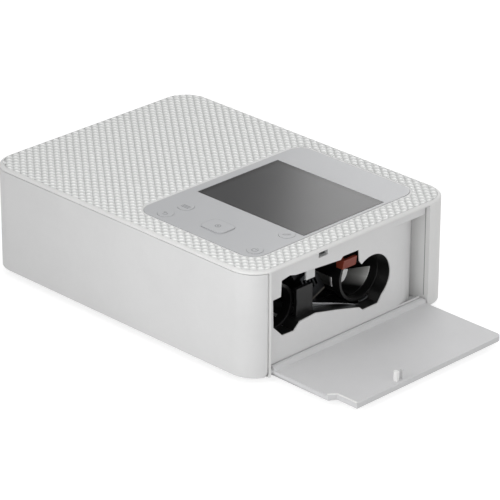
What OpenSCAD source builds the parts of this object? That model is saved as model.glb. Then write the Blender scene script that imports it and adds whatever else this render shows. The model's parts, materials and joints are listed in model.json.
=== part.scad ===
// Compact photo printer with a hinged ink door at the right and a drop-down front cover.
// Millimetres. X runs across the front, +X towards the ink door. Y runs from front to back.
// The origin is on the table, under the centre of the body. The ink door is open, as at rest.

/* [Body] */
// Width of the body across the front
body_w = 182.2; // [178:0.1:230]
// Depth of the body from front to back
body_d = 133; // [130:0.5:170]
// Height from the table to the top skin
body_h = 57; // [57:0.5:72]
// Radius of the four upright corners
corner_r = 14; // [10:0.5:18]
// Drop of the rounded rim along the top edge
edge_r = 1.2; // [0.6:0.1:1.4]
// Breadth of the rounded rim along the top edge
rim_w = 2.8; // [1:0.1:4]
// Thickness of the side and back walls
wall = 2.2; // [1.8:0.1:2.8]
// Thickness of the top skin
skin = 1.5; // [1.4:0.1:2]
// Height of the body's lower edge above the table
foot_h = 3; // [2.4:0.1:4]
// Thickness of the base tray's floor
floor_t = 1.8; // [1.4:0.1:2.4]
// Radius of a rubber foot
foot_r = 6; // [4:0.5:8]

/* [Covers] */
// Gap between a cover and the housing round it
seam = 0.35; // [0.3:0.05:0.5]
// Thickness of the front cover
cover_t = 2; // [1.6:0.1:2.4]
// How far the front cover wraps back along each side
cover_return = 9.5; // [8:0.5:12]
// Width of the ink door along the body's depth
door_w = 102.1; // [90:0.1:104]
// Thickness of the ink door
door_t = 2.5; // [2:0.1:2.7]
// Gap beside the ink door
door_gap = 1.7; // [1:0.1:2]
// Depth of the rabbet that the ink door closes into
rabbet_d = 3; // [2.8:0.1:4]
// Radius of the ink door's rounded root
root_r = 2.5; // [2:0.1:2.8]
// Radius of the hinge pins of both covers
pin_r = 1.25; // [1:0.05:1.4]
// Radial clearance of every shaft and pin in its bore
run_gap = 0.05; // [0.02:0.01:0.1]

/* [Ink bay] */
// Radius of the rear trough, for the supply spool
supply_r = 12.4; // [10:0.1:12.8]
// Radius of the front trough, for the take-up spool
takeup_r = 9.9; // [8:0.1:10.2]
// Thickness of the trough walls
liner_t = 1.4; // [1:0.1:1.6]
// Depth of the bay from the bay wall inwards
bay_depth = 126; // [120:1:140]
// Depth of the scooped pocket at the far end of the rabbet
pocket_d = 8.9; // [6:0.1:9]

/* [Control panel] */
// Width of the control panel
panel_w = 77; // [70:0.5:80]
// Length of the control panel from front to back
panel_l = 109.2; // [100:0.2:110]
// Corner radius of the control panel
panel_r = 8; // [4:0.5:10]
// Visible width of the screen
screen_w = 70; // [60:0.5:71]
// Visible depth of the screen
screen_l = 53.8; // [44:0.2:56]
// Width of the OK pad
pad_w = 14.4; // [10:0.2:16]
// Depth of the OK pad
pad_l = 11.1; // [9:0.1:12]
// Radius of the round keys
key_r = 3.9; // [3:0.1:4.2]

/* [Paper path] */
// Width of the paper
paper_w = 100; // [89:1:102]
// Height of the paper cassette's mouth
mouth_h = 9.8; // [8:0.1:10]
// Radius of the platen rubber
platen_r = 4.6; // [3.8:0.1:4.8]
// Radius of the capstan
capstan_r = 3.2; // [2.5:0.1:3.4]
// Radius of the pickup roller
pickup_r = 5; // [4:0.1:5.2]
// Tooth size of the gear train, as pitch diameter over teeth
gear_m = 0.8; // [0.7:0.01:0.84]
// Angle by which the print head stands lifted at rest
head_lift = 24; // [18:1:24]

/* [Hidden] */
$fn = 64;
half_w = body_w / 2;
half_d = body_d / 2;
skin_z = body_h - skin;
floor_z = foot_h + floor_t;
fit = 0.1;
plate_t = 1.2;

// Colours
white_shell = [0.90, 0.90, 0.89];
white_inner = [0.84, 0.85, 0.85];
panel_grey = [0.78, 0.79, 0.80];
key_grey = [0.74, 0.75, 0.77];
black_plastic = [0.08, 0.08, 0.09];
glass_grey = [0.20, 0.20, 0.21];
steel = [0.70, 0.71, 0.72];
alloy = [0.80, 0.81, 0.82];
rubber = [0.12, 0.12, 0.12];
red_brown = [0.50, 0.22, 0.16];
board_green = [0.10, 0.32, 0.20];
nylon = [0.86, 0.85, 0.80];

// Front cover and its hinge
cover_edge_y = -half_d + cover_return;
side_front = cover_edge_y + seam;
cover_axis_y = -half_d + cover_t + 2.8;
cover_axis_z = foot_h + 3.6;
cover_knuckle_r = 2.4;
cover_top_z = skin_z - 0.25;
cover_ear_x = half_w - 11.95;
cover_ear_w = 2.1;
cover_ear_r = 2.1;
knuckle_w = 3;

// Ink door, its rabbet and hinge
door_mid_y = -2.45;
door_front = door_mid_y - door_w / 2;
door_back = door_mid_y + door_w / 2;
rabbet_front = door_front - door_gap;
rabbet_back = door_back + door_gap;
wall_x = half_w - rabbet_d;
bay_wall_t = 2;
inner_x = wall_x - bay_wall_t;
door_axis_x = half_w - 1.9;
door_axis_z = foot_h + 1.9;
door_low_z = door_axis_z - (half_w - door_axis_x);
door_top_z = door_low_z + door_t;
door_reach = skin_z - 0.3 - door_axis_z;
door_end_x = door_axis_x + door_reach;
wall_low_z = door_axis_z + root_r + 0.4;
opening_edge = 0.7;
latch_y = -19;
latch_z = 52.2;
latch_x = door_axis_x + latch_z - door_axis_z;
latch_hole = [5.9, 2.9];
skirt_x = door_axis_x - root_r - 0.35;
switch_y = latch_y - 0.5;

// Spool centres and lever notch, in Y and Z
takeup_c = [-41.5, 30];
supply_c = [14.2, 28.3];
bay_end_x = wall_x - bay_depth;
mouth_ring = 5;
draft = 0.15;
notch_front = supply_c[0] - 20.1;
notch_back = supply_c[0] - 9.4;
lever_front = notch_front + 3;
lever_back = notch_back - 0.3;
pad_front = lever_front - 1.6;
pad_high_z = supply_c[1] + 15.2;
pad_low_z = supply_c[1] + 10.4;

// Scooped pocket
pocket_y = 27;
pocket_top_z = 50.2;
pocket_run = rabbet_back - pocket_y;
pocket_arc = (pocket_run * pocket_run + pocket_d * pocket_d) / (2 * pocket_d);

// Control panel, in the top skin
panel_t = 1.2;
panel_z = body_h + 0.2;
panel_x = half_w - 13.6 - panel_w / 2;
panel_y = 0.9;
ledge_w = 1.2;
ledge_t = 1.6;
screen_x = panel_x + 1.65;
screen_y = panel_y + 6.9;
window_t = 0.8;
key_travel = 0.4;
key_gap = 0.1;
pad_c = [panel_x + 2, panel_y - 41.1];
back_c = [panel_x - 25.5, panel_y - 48.2];
menu_c = [panel_x - 24.4, panel_y - 36.2];
power_c = [panel_x + 32.1, panel_y - 47.1];
edit_c = [panel_x + 30.5, panel_y - 24.8];
board_t = 1.6;
control_z = skin_z - 4.6;
switch_h = 1.1;
key_under = panel_z - panel_t - 0.3;
stem_low = control_z + board_t + switch_h + key_travel + 0.3;
control_w = 81;
control_l = 33;
control_y = panel_y - 38.4;

// Chassis and paper path
left_x = bay_end_x - 2.1 - plate_t;
right_x = inner_x - 6.7;
plate_top = control_z - 0.4;
strap_y = 37;
strap_z = [26, 34];
paper_x = (bay_end_x + right_x) / 2;
mouth_w = paper_w + 14;
frame_y = side_front + 0.15;
frame_t = 1.8;
platen_c = [-14, floor_z + 0.5 + platen_r];
capstan_gap = 1.3;
capstan_c = [-3, floor_z + capstan_gap + capstan_r];
pinch_r = 2.1;
pinch_c = [capstan_c[0], capstan_c[1] + capstan_r + 0.3 + pinch_r];
pickup_c = [-29.2, floor_z + 5.4 + pickup_r];
pickup_pivot = [-42, floor_z + mouth_h + 1.7];
head_rise = 18.1;
head_pivot = [-26, takeup_c[1] + head_rise];
shaft_r = 2;
head_shaft_r = 1.6;
head_low_z = platen_c[1] + platen_r + 0.3;
guide_z = 12;

// Gear train, in Y and Z
gear_x = left_x - 5.2;
gear_t = 4;
mesh_gap = 0.12;
small_teeth = 11;
idler_teeth = 18;
large_teeth = 25;
takeup_teeth = 22;
pinion_teeth = 10;
idler_reach = mesh(small_teeth, idler_teeth);
idler_c = circle_meet(platen_c, capstan_c, idler_reach, idler_reach, 1);
large_c = circle_meet(
    idler_c, takeup_c,
    mesh(idler_teeth, large_teeth), mesh(large_teeth, takeup_teeth), -1
);
motor_turn = 40;
motor_c = idler_c + mesh(idler_teeth, pinion_teeth) * [cos(motor_turn), sin(motor_turn)];
motor_r = 15;
motor_l = 33;
idler_phase = 0;
platen_phase = mate_phase(idler_c, platen_c, idler_phase, idler_teeth, small_teeth);
capstan_phase = mate_phase(idler_c, capstan_c, idler_phase, idler_teeth, small_teeth);
large_phase = mate_phase(idler_c, large_c, idler_phase, idler_teeth, large_teeth);
takeup_phase = mate_phase(large_c, takeup_c, large_phase, large_teeth, takeup_teeth);
pinion_phase = mate_phase(idler_c, motor_c, idler_phase, idler_teeth, pinion_teeth);

// Main board and sockets
main_z = floor_z + 3.2;
main_w = 37;
main_l = 44;
main_x = left_x - 2.4 - main_w / 2;
main_y = half_d - wall - 3 - main_l / 2;
main_posts = [
    for (x = [-1, 1], y = [-1, 1])
        [main_x + x * (main_w / 2 - 2.6), main_y + y * (main_l / 2 - 2.6)]
];
inlet_x = -half_w + 22;
inlet_z = floor_z + 12;
port_x = -half_w + 40;
port_z = floor_z + 6.6;
reader_x = -half_w + 25;
reader_z = 24;
usb_x = reader_x;
usb_z = 36;

// Screw bosses of the housing, in X and Y
boss_r = 3;
boss_x = half_w - wall - 4.4;
bosses = [
    [-boss_x, side_front + 5.2], [-boss_x, half_d - 16],
    [boss_x - 4, half_d - 8], [left_x + plate_t + 4.4, half_d - 8]
];
feet = [for (x = [-1, 1], y = [-1, 1]) [x * (half_w - 18), y * (half_d - 16)]];

// Centre distance of two gears
function mesh(n1, n2) = gear_m * (n1 + n2) / 2 + mesh_gap;

// Where circles of radius ra and rb about a and b meet, on the side that is named by a sign
function circle_meet(a, b, ra, rb, side) =
    let (
        d = b - a,
        far = norm(d),
        along = (ra * ra - rb * rb + far * far) / (2 * far),
        off = sqrt(ra * ra - along * along)
    )
    a + d / far * along + side * [-d[1], d[0]] / far * off;

// Phase of a gear at b that meshes with one at a
function mate_phase(a, b, phase, na, nb) =
    let (line = atan2(b[1] - a[1], b[0] - a[0]))
    line + 180 + 180 / nb - (phase - line) * na / nb;

// Straight-edged part of the cartridge opening, in Y and Z, from the two spool centres
function bay_points() =
    let (t = takeup_c, s = supply_c, tr = takeup_r, sr = supply_r)
    concat(
        [
            t + [-tr - 0.1, 9.4], t + [-4.9, 9.6], t + [-4.4, 17.5], t + [0.8, 18.5],
            t + [4.7, 17.4], s + [-21.4, 16.9], [notch_front, s[1] + 18.3],
            [notch_back, s[1] + 18.1], s + [-8.9, 12.3]
        ],
        [
            s, s + [sr * cos(54), -sr * sin(54)], s + [4.5, -1.5 - sr], s + [-5.8, -1.6 - sr],
            s + [-8.2, 0.5 - sr], s + [-21.5, -8.4], s + [-37.5, -4.7], t + [7.7, -7.1],
            t + [3.8, -0.7 - tr], t + [-3.7, -0.4 - tr], t + [0.3 - tr, -4.4]
        ]
    );

// Outline of the cartridge opening, with its round rear lobe
module bay_outline(grow) {
    offset(delta = grow) polygon(bay_points());
    translate(supply_c) circle(supply_r + grow);
}

// A flat outline in Y and Z, drawn out along X
module along_x(x0, x1) {
    translate([x0, 0, 0]) rotate([90, 0, 90]) linear_extrude(x1 - x0) children();
}

// A round bar along X, at a place in Y and Z
module rod(x0, x1, c, r) {
    translate([x0, c[0], c[1]]) rotate([0, 90, 0]) cylinder(h = x1 - x0, r = r);
}

// A round bar along Y, at a place in X and Z
module rod_y(y0, y1, x, z, r) {
    translate([x, y1, z]) rotate([90, 0, 0]) cylinder(h = y1 - y0, r = r);
}

module block(low, high) {
    translate(low) cube(high - low);
}

module rounded(w, d, r) {
    square([w - 2 * r, d], center = true);
    square([w, d - 2 * r], center = true);
    for (x = [-1, 1], y = [-1, 1]) translate([x * (w / 2 - r), y * (d / 2 - r)]) circle(r);
}

// A flat outline in X and Z, drawn out along Y
module along_y(y0, y1) {
    translate([0, y1, 0]) rotate([90, 0, 0]) linear_extrude(y1 - y0) children();
}

// Section of a rim that falls off in a quarter ellipse, b broad and e deep, from an inner point
module rim_section(inner, out, h, e, b) {
    steps = 8;
    polygon(concat(
        [[inner, h - e - 0.1], [inner, h]],
        [
            for (i = [0 : steps])
                [out - b + b * sin(90 * i / steps), h - e + e * cos(90 * i / steps)]
        ],
        [[out, h - e - 0.1]]
    ));
}

// A rounded slab whose top edge falls off in that rim
module soft_slab(w, d, r, h, e, b) {
    linear_extrude(h - e) rounded(w, d, r);
    linear_extrude(h) rounded(w - 2 * b, d - 2 * b, r - b);
    for (x = [-1, 1], y = [-1, 1])
        translate([x * (w / 2 - r), y * (d / 2 - r), 0])
            rotate_extrude() rim_section(0, r, h, e, b);
    for (x = [0, 1])
        mirror([x, 0, 0]) along_y(r - d / 2, d / 2 - r) rim_section(w / 2 - r, w / 2, h, e, b);
    for (y = [0, 1])
        mirror([0, y, 0]) along_x(r - w / 2, w / 2 - r) rim_section(d / 2 - r, d / 2, h, e, b);
}

module gear_shape(teeth, phase) {
    pitch = gear_m * teeth / 2;
    root = pitch - 1.2 * gear_m;
    tip = pitch + 0.8 * gear_m;
    circle(root);
    for (i = [0 : teeth - 1])
        rotate(phase + i * 360 / teeth)
            polygon([
                [root - 0.3, -1.05 * gear_m], [tip, -0.36 * gear_m],
                [tip, 0.36 * gear_m], [root - 0.3, 1.05 * gear_m]
            ]);
}

module spur_gear(c, teeth, phase, bore) {
    difference() {
        along_x(gear_x, gear_x + gear_t) translate(c) gear_shape(teeth, phase);
        rod(gear_x - 1, gear_x + gear_t + 1, c, bore);
    }
}

module panel_hole(r_in) {
    translate([panel_x, panel_y]) rounded(panel_w - 2 * r_in, panel_l - 2 * r_in, panel_r - r_in);
}

// White outer shell: top skin, left side, back and the post behind the ink door
module upper_housing() {
    color(white_shell) difference() {
        union() {
            difference() {
                translate([0, 0, foot_h])
                    soft_slab(body_w, body_d, corner_r, body_h - foot_h, edge_r, rim_w);
                translate([0, 0, -1])
                    linear_extrude(skin_z + 1)
                        rounded(body_w - 2 * wall, body_d - 2 * wall, corner_r - wall);
                block([-half_w - 1, -half_d - 1, -1], [half_w + 1, side_front, skin_z]);
                block([inner_x, rabbet_front, -1], [half_w + 1, rabbet_back, skin_z]);
            }
            // lip between the front cover and the ink door
            block([inner_x, side_front, foot_h], [half_w - 0.5, rabbet_front, skin_z + 0.1]);
            // side wall of the rabbet and of the pocket
            block(
                [wall_x - pocket_d - 2.4, rabbet_back, floor_z + fit],
                [half_w - 0.4, rabbet_back + 1.6, skin_z + 0.1]
            );
            block(
                [door_axis_x - root_r - 0.4, rabbet_back, foot_h],
                [half_w - 0.4, rabbet_back + 1.6, floor_z + 0.2]
            );
            // ledge under the control panel
            difference() {
                translate([0, 0, panel_z - panel_t - ledge_t])
                    linear_extrude(ledge_t) panel_hole(-1.6);
                translate([0, 0, skin_z - 3]) linear_extrude(4) panel_hole(ledge_w);
            }
            // screw bosses and the posts of the control board
            for (b = bosses)
                translate([b[0], b[1], floor_z + 0.1]) cylinder(h = skin_z - floor_z, r = boss_r);
            for (x = [-1, 1], y = [-1, 1])
                translate([
                    panel_x + x * (control_w / 2 - 1.6),
                    control_y + y * (control_l / 2 - 2.6),
                    control_z + board_t
                ])
                    cylinder(h = skin_z - control_z - board_t + 0.1, r = 1.5);
        }
        // seat and window of the control panel
        translate([0, 0, panel_z - panel_t]) linear_extrude(3) panel_hole(-seam / 3);
        translate([0, 0, skin_z - 3]) linear_extrude(6) panel_hole(ledge_w);
        for (b = bosses)
            translate([b[0], b[1], 0]) cylinder(h = floor_z + 12, r = 1.1);
        // bores of the ink door's hinge pins
        rod_y(side_front - 1, rabbet_front + 1, door_axis_x, door_axis_z, pin_r + run_gap);
        rod_y(rabbet_back - 1, rabbet_back + 3, door_axis_x, door_axis_z, pin_r + run_gap);
        // slot for the paper at the back
        block(
            [paper_x - paper_w / 2 - 3, half_d - wall - 1, guide_z - 1.4],
            [paper_x + paper_w / 2 + 3, half_d + 1, guide_z + 3.4]
        );
        // power inlet and data port in the back wall
        rod_y(half_d - wall - 1, half_d + 1, inlet_x, inlet_z, 4.6);
        block(
            [port_x - 4.9, half_d - wall - 1, port_z - 2],
            [port_x + 4.9, half_d + 1, port_z + 2]
        );
        // air slots in the back wall, over the boards
        for (i = [0 : 8])
            block([-78 + i * 4.4, half_d - wall - 1, 28], [-76 + i * 4.4, half_d + 1, 44]);
    }
}

// Floor of the printer, with the cassette rails, the ramp and the front cover's hinge ears
module base_tray() {
    edge = wall + 0.2;
    rail_x = mouth_w / 2 + 0.2;
    color(white_inner) difference() {
        union() {
            difference() {
                translate([0, 0, foot_h]) linear_extrude(floor_t)
                    rounded(body_w - 2 * edge, body_d - 2 * edge, corner_r - edge);
                block([-half_w, -half_d, 0], [half_w, side_front - 0.8, body_h]);
                block([inner_x - 0.2, side_front - 1, 0], [half_w, rabbet_back + 1.9, body_h]);
            }
            // rails beside the paper cassette
            for (x = [-1, 1])
                block(
                    [paper_x + x * (rail_x + 0.7) - 0.7, frame_y + frame_t + 0.1, foot_h + 1],
                    [paper_x + x * (rail_x + 0.7) + 0.7, -36, floor_z + mouth_h]
                );
            // ramp that parts the top sheet from the stack
            along_x(paper_x - paper_w / 2, paper_x + paper_w / 2)
                polygon([
                    [-24.4, floor_z - 0.5], [-23, floor_z + 3], [-20.6, floor_z + 7],
                    [-19.6, floor_z + 7], [-19.6, floor_z - 0.5]
                ]);
            // hinge ears of the front cover
            for (x = [-1, 1]) {
                x0 = x * cover_ear_x - cover_ear_w / 2;
                x1 = x * cover_ear_x + cover_ear_w / 2;
                rod(x0, x1, [cover_axis_y, cover_axis_z], cover_ear_r);
                block(
                    [x0, cover_axis_y, cover_axis_z - cover_ear_r],
                    [x1, frame_y - fit, cover_axis_z]
                );
                block([x0, side_front - 0.8, foot_h], [x1, frame_y - fit, cover_axis_z]);
            }
            // posts of the main board
            for (p = main_posts)
                translate([p[0], p[1], foot_h]) cylinder(h = main_z - foot_h, r = 2.2);
        }
        for (x = [-1, 1])
            rod(
                x * cover_ear_x - 4, x * cover_ear_x + 4,
                [cover_axis_y, cover_axis_z], pin_r + run_gap
            );
        for (b = bosses) {
            translate([b[0], b[1], 0]) cylinder(h = 20, r = 1.5);
            translate([b[0], b[1], 0]) cylinder(h = foot_h + 0.8, r = 2.9);
        }
        for (f = feet) translate([f[0], f[1], 0]) cylinder(h = foot_h + 0.5, r = foot_r + 0.1);
        // hollow under the gears
        block(
            [gear_x - 0.6, platen_c[0] - 6, floor_z - 1],
            [gear_x + gear_t + 0.6, capstan_c[0] + 6, floor_z + 1]
        );
        // air slots under the boards
        for (i = [0 : 7])
            block(
                [-half_w + 20 + i * 4.5, half_d - 52, 0],
                [-half_w + 22 + i * 4.5, half_d - 36, body_h]
            );
    }
}

// Four rubber feet, set into the base tray
module rubber_feet() {
    color(rubber) for (f = feet)
        translate([f[0], f[1], 0]) {
            cylinder(h = foot_h + 0.5, r = foot_r - 0.6);
            translate([0, 0, 0.6]) cylinder(h = foot_h - 0.1, r = foot_r);
        }
}

// Plain drop-down cover that wraps both front corners
module front_cover() {
    reach = cover_edge_y - cover_axis_y;
    knuckle_x = cover_ear_x + (cover_ear_w + knuckle_w) / 2 + seam;
    color(white_shell) difference() {
        union() {
            intersection() {
                translate([0, 0, foot_h + 0.4]) linear_extrude(cover_top_z - foot_h - 0.4)
                    difference() {
                        rounded(body_w, body_d, corner_r);
                        rounded(body_w - 2 * cover_t, body_d - 2 * cover_t, corner_r - cover_t);
                    }
                along_x(-half_w - 1, half_w + 1) union() {
                    polygon([
                        [-half_d - 1, 0], [cover_axis_y, 0], [cover_axis_y, cover_axis_z],
                        [cover_edge_y, cover_axis_z], [cover_edge_y, body_h],
                        [-half_d - 1, body_h]
                    ]);
                    translate([cover_axis_y, cover_axis_z]) circle(reach);
                }
            }
            // hinge knuckles in the corners, with their pins
            intersection() {
                for (x = [-1, 1]) {
                    rod(
                        x * knuckle_x - knuckle_w / 2, x * knuckle_x + knuckle_w / 2,
                        [cover_axis_y, cover_axis_z], cover_knuckle_r
                    );
                    block(
                        [x * knuckle_x - knuckle_w / 2, -half_d, cover_axis_z - 1.2],
                        [x * knuckle_x + knuckle_w / 2, cover_axis_y, cover_axis_z + cover_knuckle_r]
                    );
                }
                linear_extrude(body_h) rounded(body_w - 0.6, body_d - 0.6, corner_r - 0.3);
            }
            for (x = [-1, 1])
                rod(
                    x * cover_ear_x - cover_ear_w / 2 - (x < 0 ? 0.5 : 0.3),
                    x * cover_ear_x + cover_ear_w / 2 + (x < 0 ? 0.3 : 0.5),
                    [cover_axis_y, cover_axis_z], pin_r
                );
            // stiffening ribs and snap noses inside
            for (x = [-66 : 33 : 66])
                block(
                    [x - 0.6, -half_d + cover_t - 0.2, cover_axis_z + 6],
                    [x + 0.6, -half_d + cover_t + 1.6, cover_top_z - 3]
                );
            block(
                [-half_w + 20, -half_d + cover_t - 0.2, cover_top_z - 3],
                [half_w - 20, -half_d + cover_t + 1.6, cover_top_z - 1.8]
            );
            for (x = [-1, 1])
                block(
                    [x * 40 - 3, -half_d + cover_t - 0.1, cover_top_z - 4.2],
                    [x * 40 + 3, frame_y + 1, cover_top_z - 2.6]
                );
        }
    }
}

// Inner front panel behind the front cover
module front_frame() {
    color(white_inner) difference() {
        block(
            [-half_w + wall + 1, frame_y, floor_z + fit],
            [inner_x - fit, frame_y + frame_t, skin_z - 1.3]
        );
        // mouth for the paper cassette
        block(
            [paper_x - mouth_w / 2, frame_y - 1, floor_z],
            [paper_x + mouth_w / 2, frame_y + frame_t + 1, floor_z + mouth_h]
        );
        block(
            [reader_x - 12.6, frame_y - 1, reader_z - 1.5],
            [reader_x + 12.6, frame_y + frame_t + 1, reader_z + 1.5]
        );
        block(
            [usb_x - 6.8, frame_y - 1, usb_z - 3],
            [usb_x + 6.8, frame_y + frame_t + 1, usb_z + 3]
        );
        // catches for the snap noses of the cover
        for (x = [-1, 1])
            block(
                [x * 40 - 3.5, frame_y - 1, cover_top_z - 4.7],
                [x * 40 + 3.5, frame_y + frame_t + 1, cover_top_z - 2.1]
            );
        for (b = bosses)
            translate([b[0], b[1], 0]) cylinder(h = body_h, r = boss_r + 0.3);
    }
}

// Ink door, lying open. Its rounded root turns about the hinge pins.
module ink_door() {
    lip_x = door_end_x - 15;
    lip_h = 0.2;
    step_y = door_front + 3.7;
    latch_h = 5;
    color(white_shell) difference() {
        union() {
            intersection() {
                rod_y(door_front, door_back, door_axis_x, door_axis_z, root_r);
                block(
                    [door_axis_x - root_r - 1, door_front, door_low_z],
                    [door_axis_x + root_r + 1, door_back, door_axis_z + root_r + 1]
                );
            }
            translate([0, 0, door_low_z]) linear_extrude(door_t) difference() {
                union() {
                    translate([door_axis_x, door_front]) square([door_reach - 3, door_w]);
                    translate([door_axis_x, door_front]) square([door_reach, door_w - 3]);
                    translate([door_end_x - 3, door_back - 3]) circle(3);
                }
                // stepped near corner of the free end
                polygon([
                    [lip_x, door_front - 1], [lip_x + 2.6, step_y],
                    [door_end_x + 1, step_y], [door_end_x + 1, door_front - 1]
                ]);
            }
            // raised lip along the step
            translate([0, 0, door_top_z - 0.1]) linear_extrude(lip_h + 0.1)
                polygon([
                    [lip_x - 0.8, door_front + 0.1], [lip_x + 2.2, step_y + 0.9],
                    [door_end_x - 0.4, step_y + 0.9], [door_end_x - 0.4, step_y],
                    [lip_x + 2.6, step_y], [lip_x + 0.3, door_front + 0.1]
                ]);
            // latch: a broad tab, and a springy leg with a bump
            block(
                [latch_x - 1, latch_y - 2.5, door_top_z - 0.1],
                [latch_x + 0.8, latch_y - 1.2, door_top_z + latch_h]
            );
            block(
                [latch_x - 0.8, latch_y + 1.2, door_top_z - 0.1],
                [latch_x + 0.6, latch_y + 1.9, door_top_z + latch_h]
            );
            block(
                [latch_x - 0.8, latch_y + 1.8, door_top_z + latch_h - 1.4],
                [latch_x + 0.6, latch_y + 2.3, door_top_z + latch_h - 0.5]
            );
            // hinge pins
            rod_y(door_front - 2.6, door_front + 0.5, door_axis_x, door_axis_z, pin_r);
            rod_y(door_back - 0.5, door_back + 3, door_axis_x, door_axis_z, pin_r);
        }
    }
}

// Curved back of the pocket, in plan
module pocket_band() {
    intersection() {
        translate([wall_x - pocket_arc, pocket_y]) difference() {
            circle(pocket_arc, $fn = 180);
            circle(pocket_arc - bay_wall_t, $fn = 180);
        }
        translate([wall_x - pocket_d - 4, pocket_y - 0.1])
            square([pocket_d + 5, rabbet_back - pocket_y]);
    }
}

// White panel in the rabbet, with the cartridge opening, the latch hole and the pocket.
// A skirt closes it downwards, behind the root of the ink door.
module bay_wall() {
    arc_x = wall_x - pocket_arc;
    skirt_front = frame_y + frame_t + 0.3;
    color(white_inner) difference() {
        union() {
            block([inner_x, rabbet_front + 0.1, wall_low_z], [wall_x, pocket_y, skin_z - 0.1]);
            block(
                [inner_x, pocket_y - 0.1, pocket_top_z],
                [wall_x, rabbet_back - 0.1, skin_z - 0.1]
            );
            translate([0, 0, wall_low_z])
                linear_extrude(pocket_top_z - wall_low_z + 0.5) pocket_band();
            translate([0, 0, floor_z + 0.3]) linear_extrude(wall_low_z - floor_z) intersection() {
                union() {
                    pocket_band();
                    translate([inner_x - 0.9, skirt_front])
                        square([2, pocket_y + 4 - skirt_front]);
                }
                translate([0, -half_d]) square([skirt_x, body_d]);
            }
            // ceiling of the pocket
            translate([0, 0, pocket_top_z]) linear_extrude(1.6)
                intersection() {
                    translate([wall_x - pocket_d - 3, pocket_y])
                        square([pocket_d + 2, rabbet_back - 0.1 - pocket_y]);
                    difference() {
                        translate([0, pocket_y]) square([wall_x - 0.5, pocket_run]);
                        translate([arc_x, pocket_y]) circle(pocket_arc - bay_wall_t, $fn = 180);
                    }
                }
            // guide rails of the release lever, behind the wall
            for (y = [lever_front - 4.8, lever_back + 0.3])
                block([inner_x - 4.6, y, 46.9], [inner_x + 0.1, y + 1, 49.9]);
        }
        along_x(inner_x - 1, wall_x + 1) bay_outline(0);
        // seat of the liner's mouth, behind the thin edge of the opening
        along_x(inner_x - 1, wall_x - opening_edge) bay_outline(liner_t + fit);
        // latch hole
        block(
            [inner_x - 1, latch_y - latch_hole[0] / 2, latch_z - 1.3],
            [wall_x + 1, latch_y + latch_hole[0] / 2, latch_z - 1.3 + latch_hole[1]]
        );
    }
}

// Black troughs for the two spools, behind the bay wall
module bay_liner() {
    mouth_x = wall_x - opening_edge - fit;
    ring_x = inner_x - fit - mouth_ring;
    color(black_plastic) difference() {
        union() {
            along_x(ring_x, mouth_x) bay_outline(liner_t);
            rod(bay_end_x, ring_x + 1, takeup_c, takeup_r + liner_t - draft);
            rod(bay_end_x, ring_x + 1, supply_c, supply_r + liner_t - draft);
        }
        difference() {
            along_x(ring_x - 1, mouth_x + 1) bay_outline(0);
            // web between the front trough and the print head
            along_x(inner_x - 4.1, inner_x - 2.1)
                polygon([[-32, 20], [-32, 37], [-21.5, 37], [-21.5, 20]]);
        }
        for (c = [[takeup_c, takeup_r], [supply_c, supply_r]]) {
            rod(bay_end_x + 1.2, mouth_x + 1, c[0], c[1] - draft);
            rod(bay_end_x - 1, bay_end_x + 2, c[0], 4.8);
        }
        // each trough is open towards the print head
        block(
            [bay_end_x + 6, takeup_c[0] + 5, takeup_c[1] - 14],
            [ring_x - 6, takeup_c[0] + 14, takeup_c[1] + 1]
        );
        block(
            [bay_end_x + 6, supply_c[0] - 16, supply_c[1] - 16],
            [ring_x - 6, supply_c[0] - 6.2, supply_c[1] + 1]
        );
        // room for the release lever and the cover switch
        block([ring_x - 1, switch_y - 7, takeup_c[1] + 8], [mouth_x + 1, lever_back + 2, skin_z]);
    }
}

// Curved sheet that centres the supply spool on the back of its trough
module spool_guide() {
    r = supply_r - draft - 0.05;
    near_x = wall_x - 12.7;
    color(steel) intersection() {
        difference() {
            rod(bay_end_x + 20, near_x, supply_c, r);
            rod(bay_end_x + 19, near_x + 1, supply_c, r - 0.4);
        }
        translate([0, supply_c[0] - 2, 0]) rotate([-90, 0, 0]) mirror([0, 1, 0])
            linear_extrude(40)
                polygon([
                    [bay_end_x + 19, supply_c[1] - 20], [near_x + 1, supply_c[1] - 20],
                    [near_x + 1, supply_c[1] - 1], [near_x - 10, supply_c[1] - 5.6],
                    [near_x - 17, supply_c[1] - 8], [bay_end_x + 19, supply_c[1] - 8]
                ]);
    }
}

// Red-brown lever under its notch, which slides towards the front to free the cartridge. Its
// sloping thumb pad hangs on a stem from the slide between the rails.
module eject_lever() {
    slide_low_z = 45.5;
    stem_back = pad_front + 2.8;
    color(red_brown) {
        along_y(pad_front, lever_back)
            polygon([
                [inner_x - 0.2, pad_high_z], [wall_x - 0.6, pad_high_z],
                [wall_x - 1.5, pad_low_z], [inner_x - 0.6, pad_low_z]
            ]);
        block([inner_x - 3.6, pad_front, pad_low_z], [inner_x, stem_back, pad_high_z - 0.3]);
        block(
            [inner_x - 3.6, pad_front, pad_high_z - 0.4],
            [inner_x - 1.6, stem_back, slide_low_z]
        );
        block([inner_x - 3.6, lever_front, slide_low_z - 0.1], [inner_x - 0.4, stem_back, 46.4]);
        block([inner_x - 3.6, lever_front, 46.3], [inner_x - 0.4, lever_back, 49.4]);
    }
}

// Return spring between the lever and its front rail
module lever_spring() {
    color(steel) for (i = [0 : 4])
        translate([inner_x - 2, lever_front - 0.42 - i * 0.66, 47.8])
            rotate([90, 0, 0]) rotate_extrude() translate([1.1, 0]) circle(0.36, $fn = 16);
}

// Cover switch behind the latch hole, with its white actuator
module door_switch() {
    color(white_shell) {
        block([inner_x - 4.8, switch_y - 6.4, 44.4], [inner_x - 2, switch_y + 6.4, 50]);
        block([inner_x - 3.2, switch_y - 6.3, 39.6], [inner_x - 2.1, switch_y - 0.6, 44.5]);
        block([inner_x - 2.1, switch_y - 6.4, 48.4], [inner_x - fit, switch_y - 3.4, 50]);
    }
}

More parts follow.
